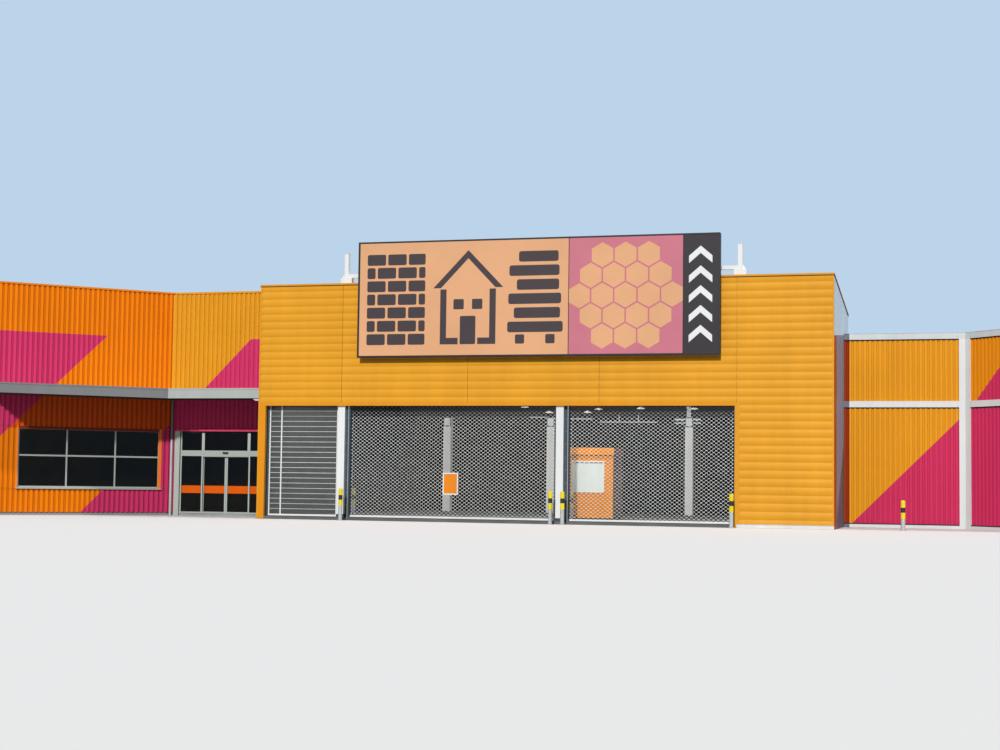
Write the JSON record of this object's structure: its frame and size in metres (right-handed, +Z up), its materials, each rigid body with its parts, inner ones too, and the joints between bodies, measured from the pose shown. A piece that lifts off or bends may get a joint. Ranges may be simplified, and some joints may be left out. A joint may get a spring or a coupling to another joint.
{
  "type": "home improvement store",
  "caption": "Drive-in home improvement store front: ribbed portal hall with roller grilles, sign, store wing with sliding entrance door under a canopy, and framed yard wall.",
  "frame": {"origin": "on the ground, at the middle of the hall floor's underside", "axes": "+X to the right along the front, +Y into the building, +Z up"},
  "size_m": [39.8666, 22.6153, 10.48],
  "materials": {
    "concrete": "trowelled",
    "wall_core": "matt",
    "pale_sheet": "satin",
    "pale_panel": "satin",
    "roof_membrane": "matt",
    "orange_sheet": "satin",
    "orange_trim": "satin",
    "white_paint": "satin",
    "steel_paint": "satin",
    "dark_paint": "satin",
    "grille_steel": "galvanised",
    "board_orange": "satin",
    "bollard_paint": "gloss",
    "booth_orange": "satin",
    "white_panel": "satin",
    "black_frame": "satin",
    "sign_peach": "satin",
    "sign_magenta": "satin",
    "sign_dark": "satin",
    "canopy_grey": "satin",
    "zinc": "weathered",
    "window_grey": "powder coated",
    "glass": "clear",
    "pale_grey_paint": "satin"
  },
  "bodies": {
    "root": {"hall_floor": "concrete", "portal_lintel_wall": "wall_core", "portal_piers": "wall_core", "portal_side_walls": "wall_core", "portal_rear_wall": "pale_sheet", "portal_roof": "roof_membrane", "portal_cladding": "orange_sheet", "opening_trim": "orange_trim", "plinth": "white_paint", "portal_side_panels": "pale_panel", "portal_caps": "orange_trim", "hall_side_walls": "pale_sheet", "hall_roof": "roof_membrane", "roof_beams": "steel_paint", "hall_rear_wall": "wall_core", "hall_rear_fascia": "pale_sheet", "hall_columns": "white_paint", "gate_posts": "white_paint", "gate_guides": "dark_paint", "roller_boxes": "steel_paint", "grille_left": "grille_steel", "grille_middle": "grille_steel", "grille_right": "grille_steel", "notice_board": "board_orange", "bollards": "bollard_paint", "booth_body": "booth_orange", "booth_panel": "white_panel", "sign_box": "black_frame", "sign_panel_wide": "sign_peach", "sign_panel_square": "sign_magenta", "sign_panel_narrow": "sign_dark", "sign_supports": "white_paint", "store_floor": "concrete", "store_roof": "roof_membrane", "store_front_wall": "wall_core", "angled_wall_bands": "wall_core", "angled_wall_piers": "wall_core", "corner_pier": "wall_core", "store_end_wall": "wall_core", "store_rear_wall": "wall_core", "store_cladding": "orange_sheet", "angled_cladding": "orange_sheet", "store_end_cladding": "orange_sheet", "store_caps": "orange_trim", "canopy": "canopy_grey", "canopy_fascia": "canopy_grey", "downpipe": "zinc", "window_frame": "window_grey", "window_glass": "glass", "storefront_frame": "window_grey", "storefront_glass": "glass", "door_operator": "window_grey", "yard_wall_frame": "pale_grey_paint", "yard_wall_panels": "orange_sheet"},
    "left_leaf": {"door_leaf_left": "window_grey", "door_glass_left": "glass"},
    "right_leaf": {"door_leaf_right": "window_grey", "door_glass_right": "glass"}
  },
  "joints": [
    {"name": "left_leaf_slide", "type": "slide", "parent": "root", "child": "left_leaf", "axis": [-1, 0, 0], "range_m": [0, 0.9]},
    {"name": "right_leaf_slide", "type": "slide", "parent": "root", "child": "right_leaf", "axis": [1, 0, 0], "range_m": [0, 0.9]}
  ],
  "couplings": [
    {"joint": "right_leaf_slide", "follows": "left_leaf_slide", "ratio": 1}
  ]
}
